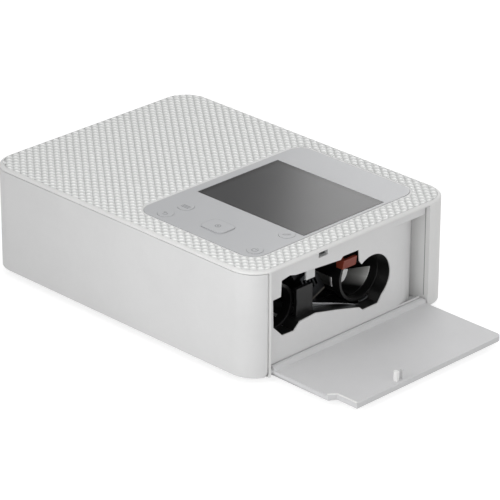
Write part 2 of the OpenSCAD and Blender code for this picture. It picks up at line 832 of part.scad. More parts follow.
// Flush control panel with the screen opening and the key holes
module control_panel() {
    color(panel_grey) difference() {
        translate([0, 0, panel_z - panel_t]) linear_extrude(panel_t) panel_hole(0);
        block(
            [screen_x - screen_w / 2 - fit, screen_y - screen_l / 2 - fit, panel_z - window_t],
            [screen_x + screen_w / 2 + fit, screen_y + screen_l / 2 + fit, panel_z + 1]
        );
        block(
            [screen_x - screen_w / 2 + 2, screen_y - screen_l / 2 + 2, panel_z - 3],
            [screen_x + screen_w / 2 - 2, screen_y + screen_l / 2 - 2, panel_z + 1]
        );
        translate([pad_c[0], pad_c[1], panel_z - 3])
            linear_extrude(6)
                rounded(pad_w + 2 * key_gap, pad_l + 2 * key_gap, 3 + key_gap);
        for (c = [back_c, menu_c, power_c, edit_c])
            translate([c[0], c[1], panel_z - 3]) cylinder(h = 6, r = key_r + key_gap);
    }
}

// Glossy window over the display
module screen_window() {
    color(glass_grey)
        block(
            [screen_x - screen_w / 2, screen_y - screen_l / 2, panel_z - window_t],
            [screen_x + screen_w / 2, screen_y + screen_l / 2, panel_z]
        );
}

// Display in its metal tray, under the panel
module display_module() {
    top_z = panel_z - panel_t - ledge_t - fit;
    color(black_plastic) {
        block(
            [screen_x - screen_w / 2 - 1.8, screen_y - screen_l / 2 - 1.4, top_z - 3],
            [screen_x + screen_w / 2 + 1.8, screen_y + screen_l / 2 + 1.4, top_z]
        );
        block(
            [screen_x - screen_w / 2 + 2.3, screen_y - screen_l / 2 + 2.3, top_z - 0.1],
            [screen_x + screen_w / 2 - 2.3, screen_y + screen_l / 2 - 2.3, panel_z - window_t - fit]
        );
    }
}

// A round key: cap, retaining flange and stem over its switch
module round_key(c) {
    color(key_grey) translate([c[0], c[1], 0]) {
        translate([0, 0, key_under - 0.1]) cylinder(h = panel_z - key_under + 0.25, r = key_r);
        translate([0, 0, key_under - 0.7]) cylinder(h = 0.7, r = key_r + 0.35);
        translate([0, 0, stem_low]) cylinder(h = key_under - 0.6 - stem_low, r = 1.2);
    }
}

module back_key() { round_key(back_c); }
module menu_key() { round_key(menu_c); }
module power_key() { round_key(power_c); }
module edit_key() { round_key(edit_c); }

// OK pad: a rounded square that stands a little proud
module ok_pad() {
    color(key_grey) translate([pad_c[0], pad_c[1], 0]) {
        translate([0, 0, key_under - 0.1])
            linear_extrude(panel_z - key_under + 0.5) rounded(pad_w, pad_l, 3);
        translate([0, 0, key_under - 0.7])
            linear_extrude(0.7) rounded(pad_w + 1.6, pad_l + 1.6, 3.8);
        translate([0, 0, stem_low]) cylinder(h = key_under - 0.6 - stem_low, r = 1.6);
    }
}

// Board under the keys
module control_board() {
    color(board_green) difference() {
        block(
            [panel_x - control_w / 2, control_y - control_l / 2, control_z],
            [panel_x + control_w / 2, control_y + control_l / 2, control_z + board_t]
        );
        for (x = [-1, 1], y = [-1, 1])
            translate([
                panel_x + x * (control_w / 2 - 1.6),
                control_y + y * (control_l / 2 - 2.6),
                control_z - 1
            ])
                cylinder(h = 5, r = 0.8);
    }
}

// Tact switches, one under each key
module key_switches() {
    color(black_plastic) for (c = [pad_c, back_c, menu_c, power_c, edit_c])
        translate([c[0], c[1], control_z + board_t]) {
            translate([-2.2, -2.2, 0]) cube([4.4, 4.4, switch_h - 0.4]);
            cylinder(h = switch_h, r = 1.3);
        }
}

// Bores shared by the two side plates
module plate_bores(x0, x1) {
    rod(x0, x1, platen_c, shaft_r + 1.2);
    rod(x0, x1, capstan_c, shaft_r - 0.4 + run_gap);
    rod(x0, x1, head_pivot, head_shaft_r + run_gap);
    rod(x0, x1, pickup_pivot, 1.2 + run_gap);
}

// Steel plate between the bay and the gear train
module left_side_plate() {
    x1 = left_x + plate_t;
    color(steel) difference() {
        union() {
            along_x(left_x, x1) polygon([
                [takeup_c[0] - takeup_r - liner_t - 0.4, floor_z + 0.1],
                [half_d - wall - 3, floor_z + 0.1],
                [half_d - wall - 3, 26],
                [36, plate_top],
                [takeup_c[0] - takeup_r - liner_t - 0.4, plate_top]
            ]);
            block(
                [left_x - 7, half_d - wall - 18, floor_z + 0.1],
                [x1, half_d - wall - 8, floor_z + 1.3]
            );
            block(
                [left_x - 7, takeup_c[0] - 6, floor_z + 0.1],
                [x1, takeup_c[0] + 2, floor_z + 1.3]
            );
        }
        plate_bores(left_x - 1, x1 + 1);
        rod(left_x - 1, x1 + 1, takeup_c, 2 + run_gap);
        rod(left_x - 1, x1 + 1, supply_c, 2 + run_gap);
        for (c = [idler_c, large_c]) rod(left_x - 1, x1 + 1, c, 1.5);
        // lightening window and screw holes
        block([left_x - 1, 44, 12], [x1 + 1, 56, 21]);
        for (z = strap_z) rod(left_x - 1, x1 + 1, [strap_y, z], 0.95);
    }
}

// Steel plate at the bay's mouth, cut out round the troughs
module right_side_plate() {
    x1 = right_x + plate_t;
    gap = liner_t + 0.3;
    front = takeup_c[0] - takeup_r - liner_t - 0.4;
    color(steel) difference() {
        union() {
            along_x(right_x, x1) polygon([
                [front, floor_z + 0.1], [41, floor_z + 0.1], [41, plate_top], [front, plate_top]
            ]);
            block([right_x, 30, floor_z + 0.1], [right_x + 3.6, 40, floor_z + 1.3]);
        }
        plate_bores(right_x - 1, x1 + 1);
        rod(right_x - 1, x1 + 1, takeup_c, takeup_r + gap);
        rod(right_x - 1, x1 + 1, supply_c, supply_r + gap);
        along_x(right_x - 1, x1 + 1) polygon([
            takeup_c + [6, -8.6], [-16.7, 23.5], supply_c + [0, -16], supply_c + [0, -4],
            supply_c + [-4, 16.7], takeup_c + [0, 15]
        ]);
        block([right_x - 1, front - 1, takeup_c[1] - 8], [x1 + 1, takeup_c[0], takeup_c[1] + 8]);
    }
}

// Steel strip that ties the side plates in front of the bay
module front_crossbar() {
    y1 = takeup_c[0] - takeup_r - liner_t - 0.5;
    color(steel) difference() {
        block([left_x, y1 - plate_t, 20], [right_x + plate_t, y1, plate_top]);
        for (i = [0 : 3])
            translate([left_x + 18 + i * 28, y1 + 1, 35]) rotate([90, 0, 0]) cylinder(h = 4, r = 5);
    }
}

// Folded steel strip that ties the side plates behind the bay
module rear_crossbar() {
    x0 = left_x + plate_t + fit;
    x1 = right_x - fit;
    color(steel) difference() {
        union() {
            block([x0, strap_y - 4, 20], [x1, strap_y - 4 + plate_t, 42]);
            block([x0, strap_y - 4, 42 - plate_t], [x1, strap_y + 3, 42]);
            for (x = [x0, x1 - plate_t])
                block([x, strap_y - 4, 22], [x + plate_t, strap_y + 3, 38]);
        }
        for (z = strap_z) rod(x0 - 1, x0 + plate_t + 1, [strap_y, z], 0.95);
    }
}

// Flanged bushes of the platen shaft
module shaft_bushes() {
    color(nylon) for (x = [left_x, right_x])
        difference() {
            union() {
                rod(x, x + plate_t, platen_c, shaft_r + 1.2);
                rod(
                    x == left_x ? x + plate_t : x - 1, x == left_x ? x + plate_t + 1 : x,
                    platen_c, shaft_r + 2.2
                );
            }
            rod(x - 3, x + 4, platen_c, shaft_r + run_gap);
        }
}

// Steel shaft of the platen roller
module platen_shaft() {
    color(steel) rod(gear_x - 0.4, right_x + plate_t + 1.5, platen_c, shaft_r);
}

// Rubber of the platen roller
module platen_rubber() {
    color(rubber) difference() {
        rod(paper_x - paper_w / 2 - 0.5, paper_x + paper_w / 2 + 0.5, platen_c, platen_r);
        rod(paper_x - paper_w, paper_x + paper_w, platen_c, shaft_r);
    }
}

module platen_gear() { color(nylon) spur_gear(platen_c, small_teeth, platen_phase, shaft_r); }

// Steel capstan that feeds the paper
module capstan_shaft() {
    color(steel) {
        rod(paper_x - paper_w / 2, paper_x + paper_w / 2, capstan_c, capstan_r);
        rod(gear_x - 0.4, right_x + plate_t + 1.5, capstan_c, shaft_r - 0.4);
    }
}

module capstan_gear() {
    color(nylon) spur_gear(capstan_c, small_teeth, capstan_phase, shaft_r - 0.4);
}

// Pinch roller over the capstan, with its journals
module pinch_roller() {
    color(rubber) {
        rod(paper_x - paper_w / 2 + 4, paper_x + paper_w / 2 - 4, pinch_c, pinch_r);
        rod(paper_x - paper_w / 2 - 4, paper_x + paper_w / 2 + 4, pinch_c, 1);
    }
}

// Holders of the pinch roller, fixed to the side plates
module pinch_holders() {
    left_end = left_x + plate_t + fit;
    right_end = right_x - fit;
    low_z = capstan_c[1] + 2.2;
    color(black_plastic) difference() {
        union() {
            block(
                [left_end, pinch_c[0] - 2.4, low_z],
                [paper_x - paper_w / 2 - 1, pinch_c[0] + 2.2, pinch_c[1] + 2.2]
            );
            block(
                [paper_x + paper_w / 2 + 1, pinch_c[0] - 2.4, low_z],
                [right_end, pinch_c[0] + 2.2, pinch_c[1] + 2.2]
            );
        }
        rod(left_end - 1, right_end + 1, pinch_c, 1 + run_gap);
    }
}

module small_idler() { color(nylon) spur_gear(idler_c, idler_teeth, idler_phase, 1.5 + run_gap); }
module large_idler() { color(nylon) spur_gear(large_c, large_teeth, large_phase, 1.5 + run_gap); }

// Studs riveted into the left side plate for the two idlers
module idler_studs() {
    color(steel) for (c = [idler_c, large_c]) {
        rod(gear_x - 0.8, left_x + plate_t + 0.5, c, 1.5);
        rod(gear_x - 1.2, gear_x - 0.3, c, 2.4);
    }
}

// Splined end of a spindle, which enters the spool's core
module spline_hub(c, x0, x1, r) {
    rod(x0, x1, c, r);
    for (a = [0 : 60 : 300])
        along_x(x0, x1 - 1.5) translate(c) rotate(a) translate([r - 0.3, -0.6]) square([1.2, 1.2]);
}

module takeup_spindle() {
    color(black_plastic) {
        rod(gear_x - 0.4, bay_end_x - 0.4, takeup_c, 2);
        spline_hub(takeup_c, bay_end_x - 0.5, bay_end_x + 8, 3.3);
    }
}

module takeup_gear() { color(nylon) spur_gear(takeup_c, takeup_teeth, takeup_phase, 2); }

module supply_spindle() {
    color(black_plastic) {
        rod(left_x - 1.6, bay_end_x - 0.4, supply_c, 2);
        rod(left_x - 1.6, left_x - 0.3, supply_c, 3.2);
        spline_hub(supply_c, bay_end_x - 0.5, bay_end_x + 8, 3.3);
    }
}

// Motor can with its shaft boss, on the motor bracket
module drive_motor() {
    face_x = gear_x - 2.6;
    color(steel) difference() {
        union() {
            rod(face_x - motor_l, face_x, motor_c, motor_r);
            rod(face_x - 0.1, face_x + 1.2, motor_c, 4);
            rod(face_x - motor_l - 1.5, face_x - motor_l + 0.1, motor_c, 5);
        }
        rod(face_x - 6, face_x + 3, motor_c, 1 + run_gap);
    }
}

// Pinion on the motor's shaft
module motor_pinion() {
    color([0.78, 0.66, 0.36]) {
        spur_gear(motor_c, pinion_teeth, pinion_phase, 1);
        rod(gear_x - 7, gear_x + gear_t, motor_c, 1);
    }
}

// Steel bracket that holds the motor clear of the left side plate
module motor_bracket() {
    x1 = gear_x - 1.4;
    color(steel) difference() {
        union() {
            along_x(x1 - plate_t, x1) translate(motor_c) rounded(34, 30, 4);
            // spacers to the side plate, clear of the gears
            for (p = [[12, -9], [12, 12], [-10, 11]]) rod(x1 - 0.1, left_x, motor_c + p, 2);
        }
        rod(x1 - 3, x1 + 2, motor_c, 4 + run_gap);
    }
}

// Shaft that the pickup arm swings on
module pickup_shaft() {
    color(steel) rod(left_x - 0.3, right_x + plate_t + 0.3, pickup_pivot, 1.2);
}

// Swinging arm over the paper stack
module pickup_arm() {
    color(black_plastic) difference() {
        union() {
            for (x = [-1, 1]) {
                x0 = paper_x + x * 8.2 - 1;
                rod(x0, x0 + 2, pickup_pivot, 1.9);
                rod(x0, x0 + 2, pickup_c, 2.6);
                along_x(x0, x0 + 2) polygon([
                    pickup_pivot + [0, -1.8], pickup_c + [-0.2, -2.5],
                    pickup_c + [0.2, 2.5], pickup_pivot + [0, 1.8]
                ]);
            }
            block(
                [paper_x - 8, pickup_pivot[0] + 3, pickup_pivot[1] - 0.6],
                [paper_x + 8, pickup_pivot[0] + 6.4, pickup_pivot[1] + 1]
            );
        }
        rod(paper_x - 12, paper_x + 12, pickup_pivot, 1.2 + run_gap);
        rod(paper_x - 12, paper_x + 12, pickup_c, 1.2 + run_gap);
    }
}

// Rubber roller that lifts one sheet off the stack
module pickup_roller() {
    color(rubber) {
        rod(paper_x - 6.8, paper_x + 6.8, pickup_c, pickup_r);
        rod(paper_x - 9, paper_x + 9, pickup_c, 1.2);
    }
}

// Turns the head's pieces from the printing place to their lifted place
module head_lifted() {
    translate([0, head_pivot[0], head_pivot[1]]) rotate([head_lift, 0, 0])
        translate([0, -head_pivot[0], -head_pivot[1]]) children();
}

module head_shaft() {
    color(steel) rod(left_x - 0.3, right_x + plate_t + 0.3, head_pivot, head_shaft_r);
}

// Sheet bracket with two cheeks that swing on the head shaft
module head_bracket() {
    top_z = head_low_z + 16;
    x0 = paper_x - paper_w / 2 + 1;
    x1 = paper_x + paper_w / 2 - 1;
    color(steel) head_lifted() difference() {
        union() {
            block([x0, -26, top_z], [x1, -13, top_z + plate_t]);
            for (x = [x0, x1 - plate_t]) {
                rod(x, x + plate_t, head_pivot, 2.4);
                along_x(x, x + plate_t) polygon([
                    [-26, top_z], [-13.5, top_z], [-15, top_z + 5],
                    head_pivot + [2.3, 0], head_pivot + [-2.3, 0]
                ]);
            }
        }
        rod(x0 - 1, x1 + 1, head_pivot, head_shaft_r + run_gap);
        for (i = [0 : 2])
            block([x0 + 14 + i * 26, -23, top_z - 1], [x0 + 32 + i * 26, -20, top_z + 3]);
    }
}

// Aluminium bar behind the print line, with cooling ribs along it
module heat_sink() {
    z0 = head_low_z + 1.2;
    z1 = head_low_z + 16;
    color(alloy) head_lifted() difference() {
        along_x(paper_x - paper_w / 2 - 1, paper_x + paper_w / 2 + 1) polygon([
            [-23, z0], [-12.8, z0], [-12.8, z0 + 3], [-14.5, z1 - 4],
            [-14.5, z1], [-24, z1], [-24, z0 + 5]
        ]);
        for (i = [0 : 3])
            block(
                [paper_x - paper_w, -23 + i * 2.1, z0 + 4.5],
                [paper_x + paper_w, -22 + i * 2.1, z1 - 2.2]
            );
    }
}

// Ceramic strip with the print line
module thermal_head() {
    color(nylon) head_lifted() {
        block(
            [paper_x - paper_w / 2 - 1, -22.6, head_low_z + 0.2],
            [paper_x + paper_w / 2 + 1, -12.8, head_low_z + 1.2]
        );
        block(
            [paper_x - paper_w / 2, -14.8, head_low_z],
            [paper_x + paper_w / 2, -13.6, head_low_z + 0.3]
        );
    }
}

// Torsion springs on the head shaft
module head_springs() {
    color(steel) for (x = [-1, 1], i = [0 : 4])
        translate([paper_x + x * (paper_w / 2 + 1.2 + 0.66 * i), head_pivot[0], head_pivot[1]])
            rotate([0, 90, 0]) rotate_extrude() translate([head_shaft_r + 0.4, 0]) circle(0.36, $fn = 16);
}

// Ribbed floor of the paper path behind the capstan
module paper_guide() {
    x0 = paper_x - paper_w / 2 - 2;
    x1 = paper_x + paper_w / 2 + 2;
    y0 = capstan_c[0] + capstan_r + 0.8;
    y1 = half_d - wall - 0.3;
    color(black_plastic) {
        block([x0, y0, guide_z - 2], [x1, y1, guide_z - 1]);
        for (i = [0 : 8])
            block(
                [x0 + 6 + i * (x1 - x0 - 17) / 8, y0 + 1, guide_z - 1.1],
                [x0 + 7 + i * (x1 - x0 - 17) / 8, y1 - 6, guide_z - 0.4]
            );
        for (x = [x0, (x0 + x1) / 2, x1 - 1.4])
            block([x, y0 + 2, floor_z + 0.1], [x + 1.4, y1, guide_z - 1.9]);
    }
}

// Light gate that sees the paper's edge
module paper_sensor() {
    x0 = paper_x + paper_w / 2 - 4;
    color(black_plastic) difference() {
        block([x0, 40, guide_z - 0.95], [x0 + 5.9, 46, guide_z + 7]);
        block([x0 - 1, 39, guide_z + 0.2], [x0 + 4.6, 47, guide_z + 3.2]);
    }
}

// Main board at the left rear
module main_board() {
    color(board_green) block(
        [main_x - main_w / 2, main_y - main_l / 2, main_z],
        [main_x + main_w / 2, main_y + main_l / 2, main_z + board_t]
    );
}

// Power inlet: a square body with a round bore and its centre pin
module power_inlet() {
    back_y = half_d - wall - 0.2;
    low_z = main_z + board_t;
    color(black_plastic) difference() {
        block([inlet_x - 5, back_y - 14, low_z], [inlet_x + 5, back_y, inlet_z + 5]);
        translate([inlet_x, back_y + 1, inlet_z]) rotate([90, 0, 0]) cylinder(h = 10.5, r = 3.15);
    }
    color(steel) rod_y(back_y - 10, back_y - 1, inlet_x, inlet_z, 1);
}

// Data port on the main board
module usb_c_port() {
    back_y = half_d - wall - 0.2;
    low_z = main_z + board_t;
    color(steel) difference() {
        block([port_x - 4.5, back_y - 7.4, low_z], [port_x + 4.5, back_y, low_z + 3.2]);
        block([port_x - 4.1, back_y - 6.4, low_z + 0.35], [port_x + 4.1, back_y + 1, low_z + 2.85]);
    }
    color(black_plastic) block(
        [port_x - 3.3, back_y - 6.6, low_z + 1.25],
        [port_x + 3.3, back_y - 0.8, low_z + 1.95]
    );
}

// Socket for a memory stick or a cable, behind the front frame
module usb_a_port() {
    y0 = frame_y + frame_t + fit;
    color(steel) difference() {
        block([usb_x - 7.2, y0, usb_z - 3.5], [usb_x + 7.2, y0 + 14, usb_z + 3.5]);
        block([usb_x - 6.6, y0 - 1, usb_z - 2.7], [usb_x + 6.6, y0 + 12.5, usb_z + 2.7]);
    }
    color(black_plastic) block(
        [usb_x - 5.6, y0 + 1.2, usb_z + 0.2],
        [usb_x + 5.6, y0 + 13, usb_z + 2]
    );
}

// Memory card reader behind the front frame
module card_reader() {
    y0 = frame_y + frame_t + fit;
    color(steel) difference() {
        block([reader_x - 14.4, y0, reader_z - 2.2], [reader_x + 14.4, y0 + 29, reader_z + 2.2]);
        block(
            [reader_x - 12.2, y0 - 1, reader_z - 1.25],
            [reader_x + 12.2, y0 + 27, reader_z + 1.25]
        );
    }
}

// Screws up through the base tray into the housing's bosses
module housing_screws() {
    color(steel) for (b = bosses)
        translate([b[0], b[1], foot_h + 0.8]) {
            cylinder(h = 9, r = 1.1);
            translate([0, 0, -1.4]) cylinder(h = 1.4, r = 2.6);
        }
}

// Screws that hold the crossbars to the side plates
module chassis_screws() {
    color(steel) {
        for (z = strap_z) {
            rod(left_x - 0.1, left_x + 2 * plate_t + fit + 0.4, [strap_y, z], 0.9);
            rod(left_x - 1.1, left_x - 0.02, [strap_y, z], 1.9);
        }
    }
}

upper_housing();
base_tray();
rubber_feet();
front_cover();
front_frame();
ink_door();
bay_wall();
bay_liner();
spool_guide();
eject_lever();
lever_spring();
door_switch();
control_panel();
screen_window();
display_module();
ok_pad();
back_key();
menu_key();
edit_key();
power_key();
control_board();
key_switches();
left_side_plate();
right_side_plate();
front_crossbar();
rear_crossbar();
shaft_bushes();
platen_shaft();
platen_rubber();
platen_gear();
capstan_shaft();
capstan_gear();
pinch_roller();
pinch_holders();
small_idler();
large_idler();
idler_studs();
takeup_spindle();
takeup_gear();
supply_spindle();
drive_motor();
motor_pinion();
motor_bracket();
pickup_shaft();
pickup_arm();
pickup_roller();
head_shaft();
head_bracket();
heat_sink();
thermal_head();
head_springs();
paper_guide();
paper_sensor();
main_board();
power_inlet();
usb_c_port();
usb_a_port();
card_reader();
housing_screws();
chassis_screws();
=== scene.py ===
import json
from math import cos, pi, radians, sin

import bmesh
import bpy
from mathutils import Matrix, Vector

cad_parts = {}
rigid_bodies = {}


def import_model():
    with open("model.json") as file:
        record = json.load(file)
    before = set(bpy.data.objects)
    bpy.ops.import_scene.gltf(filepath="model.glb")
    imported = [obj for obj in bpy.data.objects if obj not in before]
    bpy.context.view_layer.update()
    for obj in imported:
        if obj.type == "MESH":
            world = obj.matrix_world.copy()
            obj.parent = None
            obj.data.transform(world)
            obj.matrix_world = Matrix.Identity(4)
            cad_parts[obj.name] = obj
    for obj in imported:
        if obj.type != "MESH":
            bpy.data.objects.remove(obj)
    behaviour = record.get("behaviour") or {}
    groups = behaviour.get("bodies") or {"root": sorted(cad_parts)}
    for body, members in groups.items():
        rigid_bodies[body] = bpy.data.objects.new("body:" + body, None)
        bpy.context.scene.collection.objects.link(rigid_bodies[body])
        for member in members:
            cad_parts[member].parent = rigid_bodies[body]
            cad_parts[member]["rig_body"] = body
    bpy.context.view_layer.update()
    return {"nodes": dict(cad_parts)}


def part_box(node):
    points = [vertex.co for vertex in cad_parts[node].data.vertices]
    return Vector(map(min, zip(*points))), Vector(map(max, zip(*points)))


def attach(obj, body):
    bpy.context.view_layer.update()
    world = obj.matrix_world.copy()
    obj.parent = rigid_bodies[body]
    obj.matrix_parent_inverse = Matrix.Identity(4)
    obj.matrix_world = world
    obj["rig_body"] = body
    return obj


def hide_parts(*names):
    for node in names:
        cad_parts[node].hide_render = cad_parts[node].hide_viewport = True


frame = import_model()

# The camera stands off the printer's front right corner, above the table and half way between
# its front and its right side, with a long lens, as in the photograph.
camera_place = Vector((0.985562, -0.963899, 0.661254))
camera_right = Vector((0.70573282, 0.70846556, 0.00421059))
camera_up = Vector((-0.30204354, 0.29549186, 0.90634114))
camera_back = Vector((0.64086729, -0.64090647, 0.42252575))
camera = bpy.data.objects.new("camera", bpy.data.cameras.new("camera"))
camera.data.sensor_width = 36
camera.data.lens = 226.99
camera.matrix_world = (
    Matrix.Translation(camera_place)
    @ Matrix((camera_right, camera_up, camera_back)).transposed().to_4x4()
)
bpy.context.scene.collection.objects.link(camera)
bpy.context.scene.camera = camera


# Base tray, moulded in white plastic, with the cassette rails and the hinge ears of the front
# cover. It carries the chassis and the boards, and screws from below hold it to the housing.
MM = 0.001


class Term:
    """A value in a tree of nodes. An operator on it adds the Math node that works it out."""

    def __init__(self, tree, socket):
        self.tree = tree
        self.socket = socket

    def math(self, operation, *values):
        return self.tree.node("ShaderNodeMath", {"operation": operation}, dict(enumerate(values)))

    def __add__(self, other):
        return self.math("ADD", self, other)

    def __sub__(self, other):
        return self.math("SUBTRACT", self, other)

    def __rsub__(self, other):
        return self.math("SUBTRACT", other, self)

    def __mul__(self, other):
        return self.math("MULTIPLY", self, other)

    def __truediv__(self, other):
        return self.math("DIVIDE", self, other)

    def __rtruediv__(self, other):
        return self.math("DIVIDE", other, self)

    def __lt__(self, other):
        return self.math("LESS_THAN", self, other)

    def __gt__(self, other):
        return self.math("GREATER_THAN", self, other)

    def at_least(self, other):
        return self.math("MAXIMUM", self, other)

    def at_most(self, other):
        return self.math("MINIMUM", self, other)

    def sine(self):
        return self.math("SINE", self)

    __radd__ = __add__
    __rmul__ = __mul__


class NodeTree:
    """A tree of nodes that grows by one node at a time."""

    def __init__(self, tree):
        self.tree = tree

    def node(self, kind, settings=None, inputs=None, output=0):
        """Adds a node. Gives the output that is named, or the node itself for output=None."""
        made = self.tree.nodes.new(kind)
        for name, value in (settings or {}).items():
            setattr(made, name, value)
        for name, value in (inputs or {}).items():
            self.feed(made.inputs[name], value)
        return made if output is None else Term(self, made.outputs[output])

    def feed(self, socket, value):
        if isinstance(value, Term):
            self.tree.links.new(value.socket, socket)
        else:
            socket.default_value = value

    def vector(self, operation, *values):
        words = {"operation": operation}
        output = "Value" if operation == "LENGTH" else "Vector"
        return self.node("ShaderNodeVectorMath", words, dict(enumerate(values)), output)

    def parts(self, vector):
        """A vector's three numbers."""
        split = self.node("ShaderNodeSeparateXYZ", {}, {0: vector}, None)
        return [Term(self, socket) for socket in split.outputs]


class Finish(NodeTree):
    """A material: a Principled shader, whose steady values are words, and what varies feeds it."""

    def __init__(self, name, **steady):
        self.material = bpy.data.materials.new(name)
        self.material.use_nodes = True
        super().__init__(self.material.node_tree)
        self.shader = self.tree.nodes["Principled BSDF"]
        for words, value in steady.items():
            self.shader.inputs[words.replace("_", " ")].default_value = value
        self.place = self.node("ShaderNodeTexCoord", output="Object")

    def set(self, socket, value):
        self.feed(self.shader.inputs[socket], value)

    def grain(self, size, detail=2.0, stretch=(1, 1, 1), seed=0.0):
        """Noise from 0 to 1, whose marks are as large as size, in metres, over stretch."""
        scaled = self.vector("MULTIPLY", self.place, [1 / (size * s) for s in stretch])
        moved = self.vector("ADD", scaled, (seed, 1.7 * seed, 2.3 * seed))
        return self.node("ShaderNodeTexNoise", {}, {"Vector": moved, "Scale": 1, "Detail": detail})

    def blend(self, low, high, amount):
        """A mix of two colours. The Mix node's colour sockets are inputs 6 and 7 and output 2."""
        return self.node("ShaderNodeMix", {"data_type": "RGBA"}, {0: amount, 6: low, 7: high}, 2)

    def ramp(self, value, low, high):
        """0 below low, 1 above high and even between."""
        words = {"From Min": low, "From Max": high}
        return self.node("ShaderNodeMapRange", {"clamp": True}, {"Value": value, **words})

    def relief(self, height, depth):
        """Bumps in the surface, as deep as depth, in metres, where height is 1."""
        words = {"Height": height, "Distance": depth, "Strength": 1.0}
        self.set("Normal", self.node("ShaderNodeBump", {}, words))


def tint(red, green, blue, shade=1.0):
    """A colour as the eye names it, from 0 to 255, in the shader's own linear numbers."""
    channels = [((v / 255 + 0.055) / 1.055) ** 2.4 * shade for v in (red, green, blue)]
    return (*channels, 1.0)


def moulded(name, colour, roughness=0.45, tooth=0.010, mottle=0.035, **steady):
    """Moulded plastic: faint flow marks in its colour, and the fine matt tooth of the tool."""
    finish = Finish(name, **steady)
    flow = finish.grain(26 * MM, 3.0)
    fine = finish.grain(0.22 * MM, 2.0, seed=4.0)
    dust = finish.grain(3.1 * MM, 5.0, seed=9.0)
    cast = flow * 0.55 + fine * 0.25 + dust * 0.2
    finish.set("Base Color", finish.blend(
        tint(*colour, 1 - mottle), tint(*colour, 1 + mottle), finish.ramp(cast, 0.3, 0.7)))
    finish.set("Roughness", (fine - 0.5) * 0.16 + (dust - 0.5) * 0.10 + roughness)
    finish.relief(fine + dust * 0.5, tooth * MM)
    return finish


def finished(node, finish, edge=0.15, rounds=2):
    """A piece that stands for a CAD node: its mesh with doubles merged and its edges broken."""
    weld, flat_turn, sharp_turn, area_weight = 0.002 * MM, radians(0.3), radians(32), 80
    cad = frame["nodes"][node]
    form = bmesh.new()
    form.from_mesh(cad.data)
    bmesh.ops.remove_doubles(form, verts=form.verts, dist=weld)
    bmesh.ops.dissolve_limit(form, angle_limit=flat_turn, verts=form.verts, edges=form.edges)
    bmesh.ops.triangulate(form, faces=[face for face in form.faces if len(face.verts) > 4])
    mesh = bpy.data.meshes.new(node + "_form")
    form.to_mesh(mesh)
    form.free()
    mesh.shade_smooth()
    piece = bpy.data.objects.new(node + "_piece", mesh)
    bpy.context.scene.collection.objects.link(piece)
    if edge:
        bevel = piece.modifiers.new("broken edges", "BEVEL")
        bevel.width = edge * MM
        bevel.segments = rounds
        bevel.limit_method = "ANGLE"
        bevel.angle_limit = sharp_turn
        bevel.use_clamp_overlap = False
    level = piece.modifiers.new("flat faces", "WEIGHTED_NORMAL")
    level.weight = area_weight
    level.keep_sharp = True
    plain = bpy.data.meshes.new_from_object(
        piece.evaluated_get(bpy.context.evaluated_depsgraph_get()))
    piece.modifiers.clear()
    piece.data = plain
    plain.materials.clear()
    plain.materials.append(finish.material)
    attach(piece, cad["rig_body"])
    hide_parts(node)


tray_white = moulded("tray_white", (214, 215, 215), roughness=0.5, tooth=0.014)
finished("base_tray", tray_white, edge=0.2)


# Four feet of black rubber, pressed into round seats of the tray. They are dull, and dust
# clings to them.
foot_rubber = moulded("foot_rubber", (46, 46, 47), roughness=0.82, tooth=0.03, mottle=0.2)
finished("rubber_feet", foot_rubber, edge=0.35, rounds=3)


# Chassis: punched and folded steel plates and strips, zinc plated, with turned shafts and
# studs and nylon bushes. The plates carry every shaft, and screws tie them together.
def sheet_steel(name, colour, roughness=0.34):
    """Plated sheet: rolling lines, cloudy zinc and small scuffs."""
    finish = Finish(name, Metallic=1.0)
    rolled = finish.grain(0.18 * MM, 3.0, stretch=(1, 40, 1))
    cloud = finish.grain(5 * MM, 4.0, seed=3.0)
    scuff = finish.ramp(finish.grain(1.2 * MM, 6.0, stretch=(5, 1, 1), seed=6.0), 0.60, 0.75)
    worn = cloud * 0.6 + rolled * 0.4
    finish.set("Base Color", finish.blend(
        tint(*colour, 0.82), tint(*colour, 1.08), finish.ramp(worn, 0.3, 0.7)))
    finish.set("Roughness", (cloud - 0.5) * 0.2 + scuff * 0.15 + roughness)
    finish.relief(rolled + scuff * 0.5, 0.004 * MM)
    return finish


plated_steel = sheet_steel("plated_steel", (190, 192, 195))
turned_steel = sheet_steel("turned_steel", (205, 206, 208), roughness=0.22)
for node in ("left_side_plate", "right_side_plate", "front_crossbar", "rear_crossbar",
             "motor_bracket"):
    finished(node, plated_steel, edge=0.1)
for node in ("idler_studs", "chassis_screws", "platen_shaft", "capstan_shaft", "pickup_shaft",
             "head_shaft"):
    finished(node, turned_steel, edge=0.12)
natural_nylon = moulded("natural_nylon", (226, 222, 208), roughness=0.38, Subsurface_Weight=0.1)
finished("shaft_bushes", natural_nylon, edge=0.1)


# Paper path: the platen, the pinch roller and the pickup roller in rubber that is ground to
# size, and the black plastic holders, swinging pickup arm, ribbed paper guide and light gate.
ground_rubber = moulded("ground_rubber", (40, 40, 42), roughness=0.7, tooth=0.02, mottle=0.15)
black_frame = moulded("black_frame", (28, 28, 29), roughness=0.42, tooth=0.012, mottle=0.15)
for node in ("platen_rubber", "pinch_roller", "pickup_roller"):
    finished(node, ground_rubber, edge=0.2)
for node in ("pinch_holders", "pickup_arm", "paper_guide", "paper_sensor"):
    finished(node, black_frame, edge=0.15)


# Gear train on the left side plate, in natural nylon, driven by a brass pinion on the motor.
# The motor is a rolled steel can, held off the plate by its bracket.
for node in ("platen_gear", "capstan_gear", "small_idler", "large_idler", "takeup_gear"):
    finished(node, natural_nylon, edge=0.06, rounds=1)
turned_brass = sheet_steel("turned_brass", (214, 184, 116), roughness=0.26)
finished("motor_pinion", turned_brass, edge=0.06, rounds=1)
finished("drive_motor", plated_steel, edge=0.6, rounds=3)


